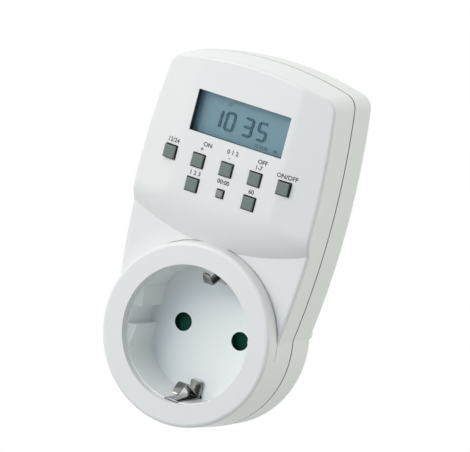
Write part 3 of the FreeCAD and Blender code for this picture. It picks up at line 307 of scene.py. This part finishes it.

# painted shade: the pin holes' walls are painted a dark green, darker than the shutter behind
# them, for the shade down the holes
holeShade = {
    "across": 0.0095, "radius": 0.00278, "front": -0.01037, "colour": (0.002, 0.034, 0.022),
}
cup = finishes["whiteSocket"]
aside = abs(cup.axis("X")) - holeShade["across"]
fromAxis = aside * aside + cup.axis("Z") * cup.axis("Z")
holeShadeMask = (1 - fromAxis.above(holeShade["radius"] ** 2)) * cup.axis("Y").above(holeShade["front"])
cup.over(holeShadeMask, holeShade["colour"])

# painted shade: the keys' sides are painted near black, for the shade in the gaps around the keys,
# which swallow the light
keySideShade = {"behind": -0.0282, "colour": (0.010, 0.012, 0.012)}
for rubber in (finishes["keyRubber"], finishes["resetRubber"]):
    rubber.over(rubber.axis("Y").above(keySideShade["behind"]), keySideShade["colour"])

# display cell: blue-grey reflector behind glass, in two close shades
cellLook = {
    "colour": (0.132, 0.282, 0.350), "shade": (0.116, 0.247, 0.305), "shadeSize": 0.012,
    "roughness": 0.32, "glossSpread": 0.1, "bend": 1.5,
    "foilSize": 0.00022, "foilDepth": 0.000004,
}
cell = Finish("displayCell", Roughness=cellLook["roughness"], IOR=cellLook["bend"])
foil = cell.spots(cell.place, cellLook["foilSize"], 2.0)
washed = cell.spots(cell.place, cellLook["shadeSize"])
cell.feed("Base Color", cell.mix(washed, cellLook["colour"], cellLook["shade"]))
cell.gloss(cellLook, foil)
cell.relief(foil, cellLook["foilDepth"])
finishes["displayCell"] = cell

# clear window in front of it
lensLook = {
    "colour": (0.80, 0.90, 0.93, 1), "roughness": 0.06, "glossSpread": 0.05, "bend": 1.49,
    "hazeSize": 0.004, "thinnest": 0.02, "hazeSpread": 0.03,
}
lens = Finish(
    "clearLens", Base_Color=lensLook["colour"],
    Roughness=lensLook["roughness"], IOR=lensLook["bend"],
)
haze = lens.spots(lens.place, lensLook["hazeSize"])
lens.feed("Alpha", lensLook["thinnest"] + lensLook["hazeSpread"] * haze)
lens.gloss(lensLook, haze)
finishes["clearLens"] = lens

# fuse tube: clear glass with bright caps at its ends
fuseLook = {
    "glass": (0.70, 0.76, 0.74), "cap": (0.62, 0.61, 0.58), "capLength": 0.003,
    "roughness": 0.15, "glossSpread": 0.1, "glossSize": 0.002, "bend": 1.5,
}
fuseGlass = Finish("fuseGlass", Roughness=fuseLook["roughness"], IOR=fuseLook["bend"])
fuseLow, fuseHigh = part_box("fuse")
capped = 1 - fuseGlass.within(
    "X", fuseLow.x + fuseLook["capLength"], fuseHigh.x - fuseLook["capLength"]
)
fuseGlass.feed("Base Color", fuseGlass.mix(capped, fuseLook["glass"], fuseLook["cap"]))
fuseGlass.feed("Metallic", capped)
fuseGlass.gloss(fuseLook, fuseGlass.spots(fuseGlass.place, fuseLook["glossSize"]))
finishes["fuseGlass"] = fuseGlass

# circuit board: green mask over faint copper runs
boardLook = {
    "mask": (0.020, 0.105, 0.045), "copper": (0.045, 0.170, 0.075),
    "runSize": 0.0026, "runLength": 1.9, "runHeight": 0.6, "gap": 0.12, "gapBlur": 0.1,
    "weaveSize": 0.0005, "weaveShare": 0.3, "depth": 0.00003,
    "roughness": 0.32, "glossSpread": 0.12, "bend": 1.5,
}
board = Finish("boardLaminate", Roughness=boardLook["roughness"], IOR=boardLook["bend"])
runs = board.node(
    "ShaderNodeTexBrick", {"offset": 0.5}, {
        "Vector": board.mapped(Rotation=(math.pi / 2, 0, 0)),
        "Scale": 1 / boardLook["runSize"],
        "Mortar Size": boardLook["gap"], "Mortar Smooth": boardLook["gapBlur"],
        "Brick Width": boardLook["runLength"], "Row Height": boardLook["runHeight"],
    }, "Fac",
)
board.feed("Base Color", board.mix(runs, boardLook["mask"], boardLook["copper"]))
weave = board.spots(board.place, boardLook["weaveSize"], 1.0)
board.gloss(boardLook, weave)
board.relief(runs + boardLook["weaveShare"] * weave, boardLook["depth"])
finishes["boardLaminate"] = board
print("display, lens, fuse and board finished")

nodeFinish = {
    "front_cover": "whiteCasing", "rear_cover": "whiteRear", "socket_insert": "whiteSocket",
    "contact_carrier": "carrierPlastic",
    "shutter": "greenShutter", "shutter_spring": "springSteel",
    "live_contact": "contactBrass", "neutral_contact": "contactBrass",
    "earth_link": "contactBrass", "live_pin": "nickelBrass", "neutral_pin": "nickelBrass",
    "upper_earth_strip": "nickelSheet", "lower_earth_strip": "nickelSheet",
    "display_lens": "clearLens", "display_glass": "displayCell", "display_frame": "blackFrame",
    "rubber_connector": "layeredRubber",
    "control_board": "boardLaminate", "power_board": "boardLaminate",
    "board_screws": "zincScrew", "case_screws": "zincScrew", "control_chip": "chipEpoxy",
    "clock_crystal": "drawnCan", "backup_cell": "drawnCan", "relay": "relayCase",
    "film_capacitor": "yellowBox", "can_capacitor": "shrinkSleeve", "fuse": "fuseGlass",
    "surge_disc": "blueLacquer", "board_link": "contactBrass",
    "live_wire": "brownInsulation", "switched_wire": "brownInsulation",
    "neutral_wire": "blueInsulation", "return_wire": "blueInsulation",
    "reset_key": "resetRubber",
}
for name, node in nodes.items():
    finishName = nodeFinish.get(name, "keyRubber")  # the key mat and the other keys
    node.data.materials.clear()
    node.data.materials.append(finishes[finishName].material)
print("finishes given to the nodes")


# modelling helpers

smoothAngle = math.radians(35)  # edges flatter than this are shaded smooth
letters = {"capital": 0.73, "curveSteps": 4}  # a capital's share of the font's size


def deselect():
    if bpy.context.object and bpy.context.object.mode != "OBJECT":
        bpy.ops.object.mode_set(mode="OBJECT")
    bpy.ops.object.select_all(action="DESELECT")


def select(*pieces):  # these alone, the first one active
    deselect()
    for piece in pieces:
        piece.select_set(True)
    bpy.context.view_layer.objects.active = pieces[0]


def pick(piece, kind, choice):
    # goes into edit mode with only what the choice returns selected, for the next operator
    bpy.ops.object.mode_set(mode="EDIT")
    bpy.ops.mesh.select_mode(type=kind)
    bpy.ops.mesh.select_all(action="DESELECT")
    bpy.ops.object.mode_set(mode="OBJECT")
    parts = {"VERT": piece.data.vertices, "FACE": piece.data.polygons}
    for part in choice(parts[kind]):
        part.select = True
    bpy.ops.object.mode_set(mode="EDIT")


def current(name, finish):  # names and paints what was just added
    piece = bpy.context.object
    piece.name = name
    piece.data.materials.clear()
    piece.data.materials.append(finish.material)
    return piece


def settle(piece):  # puts the place into the mesh and leaves the object at the origin
    select(piece)
    bpy.ops.object.transform_apply(location=True, rotation=True, scale=True)


def joined(pieces, name):
    select(*pieces)
    bpy.ops.object.join()
    whole = bpy.context.object
    whole.name = name
    return whole


def printed(text, height, place, finish, bold):
    # flat letters or numbers facing the front, as a mesh at their place
    deselect()
    bpy.ops.object.text_add()
    label = bpy.context.object
    label.data.body = text
    label.data.align_x = "CENTER"
    label.data.align_y = "CENTER"
    label.data.size = height / letters["capital"]
    label.data.offset = bold
    label.data.resolution_u = letters["curveSteps"]
    bpy.ops.object.convert(target="MESH")
    label = current("label", finish)
    label.rotation_euler = Euler((math.pi / 2, 0, 0))
    label.location = place
    settle(label)
    return label


def copied(original, turn, place):  # a twin with its own mesh, turned about the pins' direction
    select(original)
    bpy.ops.object.duplicate(linked=False)
    twin = bpy.context.object
    twin.rotation_euler = Euler((0, turn, 0))
    twin.location = place
    settle(twin)
    return twin


def applied(piece, name, kind, **settings):  # one modifier, set and applied
    select(piece)
    modifier = piece.modifiers.new(name, kind)
    for setting, value in settings.items():
        setattr(modifier, setting, value)
    bpy.ops.object.modifier_apply(modifier=name)


def smoothed(piece):
    select(piece)
    bpy.ops.object.shade_smooth_by_angle(angle=smoothAngle)
    return piece


# earth springs: each a blade with its tail, an upright plate and a curled leaf, bent from sheet
springLook = {
    "sheet": 0.0006, "edge": 0.00008, "edgeSteps": 2, "bend": 0.0004, "bendSteps": 4,
    "tipRounding": 0.0007, "tipSteps": 5, "near": 0.00001,
    "blade": [  # depth, height and width at each stop of the path
        (-0.0251, 0.0199, 0.0040), (-0.0074, 0.0199, 0.0040), (-0.0044, 0.0179, 0.0040),
        (0.0010, 0.0179, 0.0040), (0.0085, 0.0186, 0.0040), (0.0156, 0.0173, 0.0036),
    ],
    "plate": [
        (-0.0110, 0.0197, 0.0040), (-0.0109, 0.0172, 0.0040), (-0.0111, 0.0147, 0.0040),
    ],
    "leaf": [
        (-0.0110, 0.0194, 0.0027), (-0.0152, 0.0172, 0.0027), (-0.0198, 0.0152, 0.0027),
        (-0.0210, 0.0152, 0.0026), (-0.0228, 0.0166, 0.0024), (-0.0240, 0.0182, 0.0022),
    ],
}


def pickAt(piece, stop):  # the vertices that lie at a stop
    pick(piece, "VERT", lambda vertices: [
        vertex for vertex in vertices
        if math.hypot(vertex.co.y - stop.y, vertex.co.z - stop.z) < springLook["near"]
    ])


def sheetRun(path):
    # a strip drawn along its path, its end corners and bends rounded, then thickened
    stops = [Vector((0, depth, height)) for depth, height, wide in path]
    widths = [wide for depth, height, wide in path]
    first = stops[1] - stops[0]
    deselect()
    bpy.ops.mesh.primitive_plane_add(
        size=1, location=(stops[0] + stops[1]) / 2, rotation=(math.atan2(first.z, first.y), 0, 0)
    )
    run = current("run", finishes["nickelSheet"])
    run.scale = (widths[0], first.length, 1)
    settle(run)
    pickAt(run, stops[1])
    for before, after, wide, wider in zip(stops[1:], stops[2:], widths[2:], widths[1:]):
        bpy.ops.mesh.extrude_region_move(TRANSFORM_OT_translate={"value": after - before})
        bpy.ops.transform.resize(value=(wide / wider, 1, 1), center_override=after)
    bpy.ops.mesh.bevel(
        offset=springLook["tipRounding"], segments=springLook["tipSteps"], affect="VERTICES"
    )
    for stop in stops[1:-1]:
        pickAt(run, stop)
        bpy.ops.mesh.select_mode(use_expand=False, type="EDGE")
        bpy.ops.mesh.bevel(
            offset=springLook["bend"], segments=springLook["bendSteps"], affect="EDGES"
        )
    applied(run, "sheet", "SOLIDIFY", thickness=springLook["sheet"], offset=0)
    applied(
        run, "edges", "BEVEL", width=springLook["edge"], segments=springLook["edgeSteps"],
        limit_method="ANGLE",
    )
    bpy.ops.object.mode_set(mode="EDIT")
    bpy.ops.mesh.select_all(action="SELECT")
    bpy.ops.mesh.normals_make_consistent(inside=False)
    return smoothed(run)


springRuns = [sheetRun(springLook[part]) for part in ("blade", "plate", "leaf")]
upperSpring = joined(springRuns, "upper_earth_spring")
lowerSpring = copied(upperSpring, math.pi, (0, 0, 0))
lowerSpring.name = "lower_earth_spring"
for spring, strip in [(upperSpring, "upper_earth_strip"), (lowerSpring, "lower_earth_strip")]:
    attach(spring, "housing")
    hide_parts(strip)
print("earth springs bent from sheet:", len(upperSpring.data.polygons), "faces each")


# case screws: a domed head with a cross recess, a ringed shank and a drawn-in tip
screwLook = {
    "sides": 32, "headRadius": 0.0024, "headDepth": 0.0016, "neckRadius": 0.0011,
    "dome": 0.0005, "domeRings": [(0.6, 0.88), (0.4, 0.75)],  # share of its depth, narrowing
    "ringRadius": 0.0014, "ringPitch": 0.0011, "rings": 10, "tip": 0.0016, "tipNarrowing": 0.3,
    "crossLong": 0.0029, "crossWide": 0.0007, "crossDeep": 0.0011, "crossFoot": (0.4, 1, 0.7),
    "edge": 0.00012, "edgeSteps": 2,
    "firstTurn": 23, "nextTurn": 31,  # degrees, as each screw was driven in
}
screwLow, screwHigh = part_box("case_screws")


def pickEnd(piece, side):  # the face that lies furthest along the pins' direction
    pick(piece, "FACE", lambda faces: [max(faces, key=lambda face: side * face.center.y)])


def drawn(depth, wider):  # the picked end drawn along by depth, then made wider or narrower
    bpy.ops.mesh.extrude_region_move(TRANSFORM_OT_translate={"value": (0, depth, 0)})
    bpy.ops.transform.resize(value=(wider, 1, wider), center_override=(0, 0, 0))


def crossScrew():
    look = screwLook
    shoulder = screwHigh.y - look["headDepth"]
    crown = screwHigh.y - look["dome"]
    deselect()
    bpy.ops.mesh.primitive_cylinder_add(
        vertices=look["sides"], radius=look["headRadius"], depth=crown - shoulder,
        location=(0, (crown + shoulder) / 2, 0), rotation=(-math.pi / 2, 0, 0),
    )
    screw = current("screw", finishes["zincScrew"])
    settle(screw)
    pickEnd(screw, 1)
    for share, narrower in look["domeRings"]:
        drawn(look["dome"] * share, narrower)
    pickEnd(screw, -1)
    drawn(0, look["neckRadius"] / look["headRadius"])
    shankEnd = screwLow.y + look["tip"]
    drawn(shankEnd + look["rings"] * look["ringPitch"] - shoulder, 1)
    for ring in range(look["rings"]):
        drawn(-look["ringPitch"] / 2, look["ringRadius"] / look["neckRadius"])
        drawn(-look["ringPitch"] / 2, look["neckRadius"] / look["ringRadius"])
    drawn(-look["tip"], look["tipNarrowing"])
    applied(
        screw, "edges", "BEVEL", width=look["edge"], segments=look["edgeSteps"],
        limit_method="ANGLE",
    )
    for turn in (0, math.pi / 2):
        deselect()
        bpy.ops.mesh.primitive_cube_add(size=1, location=(0, screwHigh.y, 0))
        blade = current("blade", finishes["zincScrew"])
        blade.scale = (look["crossLong"], look["crossDeep"] * 2, look["crossWide"])
        settle(blade)
        pickEnd(blade, -1)
        bpy.ops.transform.resize(value=look["crossFoot"], center_override=(0, 0, 0))
        bpy.ops.object.mode_set(mode="OBJECT")
        blade.rotation_euler = Euler((0, turn, 0))
        settle(blade)
        applied(
            screw, "recess", "BOOLEAN", operation="DIFFERENCE", solver="EXACT", object=blade
        )
        bpy.data.objects.remove(blade)
    return smoothed(screw)


oneScrew = crossScrew()
screwTwins = []
for x in (screwLow.x + screwLook["headRadius"], screwHigh.x - screwLook["headRadius"]):
    for z in (screwLow.z + screwLook["headRadius"], screwHigh.z - screwLook["headRadius"]):
        turn = math.radians(screwLook["firstTurn"] + screwLook["nextTurn"] * len(screwTwins))
        screwTwins.append(copied(oneScrew, turn, (x, 0, z)))
bpy.data.objects.remove(oneScrew)
crossScrews = joined(screwTwins, "cross_screws")
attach(crossScrews, "housing")
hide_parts("case_screws")
print("case screws driven in:", len(screwTwins))


# printed legends on the panel: plain marks and numbers
legendLook = {
    "height": 0.0013, "bold": 0.00004, "ahead": -0.0295, "lift": 0.00002, "thickness": 0.00003,
    "colour": (0.040, 0.044, 0.048), "worn": (0.065, 0.070, 0.074), "wearSize": 0.0002,
    "roughness": 0.5, "glossSpread": 0.2,
    "legends": [  # text, place across and up
        ("12/24", -0.0190, 0.0526), ("ON", -0.0080, 0.0542), ("+", -0.0095, 0.0526),
        ("0 1 2", 0.0002, 0.0543), ("-", -0.0004, 0.0526), ("OFF", 0.0100, 0.0543),
        ("1-7", 0.0092, 0.0525), ("ON/OFF", 0.0184, 0.0525),
        ("1 2 3", -0.0097, 0.0454), ("00:00", -0.0004, 0.0454), ("60", 0.0088, 0.0453),
    ],
}
ink = Finish("greyInk", Roughness=legendLook["roughness"])
wear = ink.spots(ink.place, legendLook["wearSize"], 2.0)
ink.feed("Base Color", ink.mix(wear, legendLook["colour"], legendLook["worn"]))
ink.gloss(legendLook, wear)
labels = [
    printed(text, legendLook["height"], (x, legendLook["ahead"], z), ink, legendLook["bold"])
    for text, x, z in legendLook["legends"]
]
panelLegends = joined(labels, "panel_legends")
applied(
    panelLegends, "onPanel", "SHRINKWRAP", target=nodes["front_cover"], wrap_method="PROJECT",
    use_project_x=False, use_project_y=True, use_project_z=False,
    use_positive_direction=True, use_negative_direction=True, offset=legendLook["lift"],
)
applied(panelLegends, "body", "SOLIDIFY", thickness=legendLook["thickness"], offset=-1)
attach(panelLegends, "housing")
print("legends printed:", len(labels))


# the display's figures: one bar, copied for each lit segment
figureLook = {
    "cellHigh": 0.00565, "cellWide": 0.0032, "bar": 0.00068, "point": 0.42, "gap": 0.00012,
    "front": -0.02445, "middle": 0.06215, "slant": math.radians(2.5), "thickness": 0.00004,
    "colour": (0.046, 0.140, 0.195), "shade": (0.038, 0.122, 0.172), "shadeSize": 0.001,
    "roughness": 0.3, "glossSpread": 0.1, "bend": 1.5,
    "figures": [("1", -0.0088), ("0", -0.0046), ("3", 0.0013), ("5", 0.0059)],
    "marks": [  # text, height, place across and up
        ("12", 0.0010, -0.0059, 0.0668), ("12 24 36", 0.0009, 0.0067, 0.0579),
        ("60", 0.0009, 0.0113, 0.0579),
    ],
    "markBold": 0.00003,
}
lcdInk = Finish("displaySegments", Roughness=figureLook["roughness"], IOR=figureLook["bend"])
lcdCloud = lcdInk.spots(lcdInk.place, figureLook["shadeSize"])
lcdInk.feed("Base Color", lcdInk.mix(lcdCloud, figureLook["colour"], figureLook["shade"]))
lcdInk.gloss(figureLook, lcdCloud)

# a: top, b: upper right, c: lower right, d: bottom, e: lower left, f: upper left, g: middle
litBars = {"1": "bc", "0": "abcdef", "3": "abcdg", "5": "acdfg"}
barPlaces = {  # across and up in halves of a cell, and whether the bar stands
    "a": (0, 1, False), "b": (1, 0.5, True), "c": (1, -0.5, True), "d": (0, -1, False),
    "e": (-1, -0.5, True), "f": (-1, 0.5, True), "g": (0, 0, False),
}


def segment(length):
    # a bar with drawn-in ends, made from a block by bevelling all its edges
    # the bevel is wider than the block is thick, so faces cross and the bar comes out thicker
    deselect()
    bpy.ops.mesh.primitive_cube_add(size=1)
    bar = current("bar", lcdInk)
    bar.scale = (length, figureLook["thickness"], figureLook["bar"])
    settle(bar)
    bpy.ops.object.mode_set(mode="EDIT")
    bpy.ops.mesh.select_mode(type="EDGE")
    bpy.ops.mesh.select_all(action="SELECT")
    bpy.ops.mesh.bevel(
        offset=figureLook["bar"] * figureLook["point"], segments=1, affect="EDGES"
    )
    bpy.ops.object.mode_set(mode="OBJECT")
    return bar


halfWide = (figureLook["cellWide"] - figureLook["bar"]) / 2
halfHigh = (figureLook["cellHigh"] - figureLook["bar"]) / 2
lean = math.tan(figureLook["slant"])
flatBar = segment(2 * halfWide - figureLook["gap"])
standBar = segment(halfHigh / math.cos(figureLook["slant"]) - figureLook["gap"])
bars = []
for figure, middle in figureLook["figures"]:
    for barName in litBars[figure]:
        across, up, standing = barPlaces[barName]
        x = middle + across * halfWide + up * halfHigh * lean
        place = (x, figureLook["front"], figureLook["middle"] + up * halfHigh)
        turn = math.pi / 2 + figureLook["slant"] if standing else 0.0
        bars.append(copied(standBar if standing else flatBar, turn, place))
bpy.data.objects.remove(flatBar)
bpy.data.objects.remove(standBar)
for text, high, x, z in figureLook["marks"]:
    mark = printed(text, high, (x, figureLook["front"], z), lcdInk, figureLook["markBold"])
    applied(mark, "body", "SOLIDIFY", thickness=figureLook["thickness"], offset=0)
    bars.append(mark)
displayFigures = joined(bars, "display_figures")
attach(displayFigures, "housing")
print("figures on the display:", len(bars))


# studio: a pale floor, a warm and a cool soft lamp at the upper left, a soft sky, white behind
studio = {
    "floorHeight": -0.15, "floorSize": 8.0, "floorColour": (0.42, 0.42, 0.42, 1),
    "floorRoughness": 0.8, "whiteShare": 0.995,
    "aim": (0, 0, 0.03),  # where both lamps point
    "lamps": {
        "keyLamp": {
            "place": (-0.24, -0.42, 0.22), "size": 0.30, "power": 1.21,
            "colour": (1.0, 0.90, 0.82),
        },
        "softLamp": {
            "place": (-0.12, -0.60, 0.16), "size": 0.40, "power": 0.72,
            "colour": (0.55, 0.80, 1.0),
        },
    },
    "sky": [  # where a soft part of the sky lies, and its light
        ((-1.0, 0.0, 0.0), (0.84, 0.84, 0.84)), ((0.0, 1.0, 0.0), (0.53, 0.53, 0.53)),
        ((0.0, 0.0, 1.0), (0.84, 0.89, 0.90)), ((0.75, 0.65, 0.0), (1.32, 1.37, 1.26)),
        ((0.6, 0.75, -0.3), (0.71, 0.73, 0.65)), ((-0.7, -0.6, 0.4), (0.19, 0.19, 0.18)),
    ],
}
deselect()
bpy.ops.mesh.primitive_plane_add(
    size=studio["floorSize"], location=(0, 0, studio["floorHeight"])
)
ground = Finish(
    "studioFloor", Base_Color=studio["floorColour"], Roughness=studio["floorRoughness"]
)
floor = current("studio_floor", ground)
whiteGlow = ground.node("ShaderNodeEmission", {}, {"Color": (1, 1, 1, 1), "Strength": 1.0})
shown = ground.node("ShaderNodeMixShader", {}, {
    0: ground.backdropRays() * studio["whiteShare"],
    1: Flow(ground, ground.shader.outputs[0]), 2: whiteGlow,
})
ground.tree.links.new(shown.socket, ground.tree.nodes["Material Output"].inputs["Surface"])

world = bpy.data.worlds.new("studioWorld")
bpy.context.scene.world = world
world.use_nodes = True
air = Paint(world.node_tree)
towards = air.node("ShaderNodeTexCoord", {}, {}, "Generated")
skyLight = (0.0, 0.0, 0.0)
for middle, colour in studio["sky"]:
    facing = air.node(
        "ShaderNodeVectorMath", {"operation": "DOT_PRODUCT"}, {0: towards, 1: middle}, "Value"
    ).atLeast(0.0)
    lobe = air.node(
        "ShaderNodeVectorMath", {"operation": "SCALE"}, {0: colour, "Scale": facing * facing}
    )
    skyLight = air.node("ShaderNodeVectorMath", {"operation": "ADD"}, {0: skyLight, 1: lobe})
sky = air.node("ShaderNodeBackground", {}, {"Color": skyLight, "Strength": 1.0})
whiteSky = air.node("ShaderNodeBackground", {}, {"Color": (1, 1, 1, 1), "Strength": 1.0})
both = air.node("ShaderNodeMixShader", {}, {0: air.backdropRays(), 1: sky, 2: whiteSky})
air.tree.links.new(both.socket, air.tree.nodes["World Output"].inputs["Surface"])

for name, values in studio["lamps"].items():
    lamp = bpy.data.lights.new(name, "AREA")
    lamp.energy = values["power"]
    lamp.size = values["size"]
    lamp.color = values["colour"]
    holder = bpy.data.objects.new(name, lamp)
    bpy.context.scene.collection.objects.link(holder)
    holder.location = values["place"]
    aim = Vector(studio["aim"]) - Vector(values["place"])
    holder.rotation_euler = aim.to_track_quat("-Z", "Y").to_euler()

# camera at the photograph's place, tilted as it was held
view = {
    "place": (0.4843988, -1.0796214, 0.2156881), "right": (0.8645812, 0.4357784, 0.2501931),
    "up": (-0.2925295, 0.0316626, 0.9557322), "lens": 315.0354, "sensor": 36.0,
    "nearest": 0.05, "farthest": 30.0,
}
right = Vector(view["right"]).normalized()
back = right.cross(Vector(view["up"])).normalized()
up = back.cross(right)
lensData = bpy.data.cameras.new("photoCamera")
lensData.lens = view["lens"]
lensData.sensor_width = view["sensor"]
lensData.clip_start = view["nearest"]
lensData.clip_end = view["farthest"]
camera = bpy.data.objects.new("photoCamera", lensData)
bpy.context.scene.collection.objects.link(camera)
camera.matrix_world = Matrix((
    (right.x, up.x, back.x, view["place"][0]),
    (right.y, up.y, back.y, view["place"][1]),
    (right.z, up.z, back.z, view["place"][2]),
    (0, 0, 0, 1),
))
bpy.context.scene.camera = camera
bpy.context.scene.view_settings.view_transform = "Standard"
print("studio and camera set")
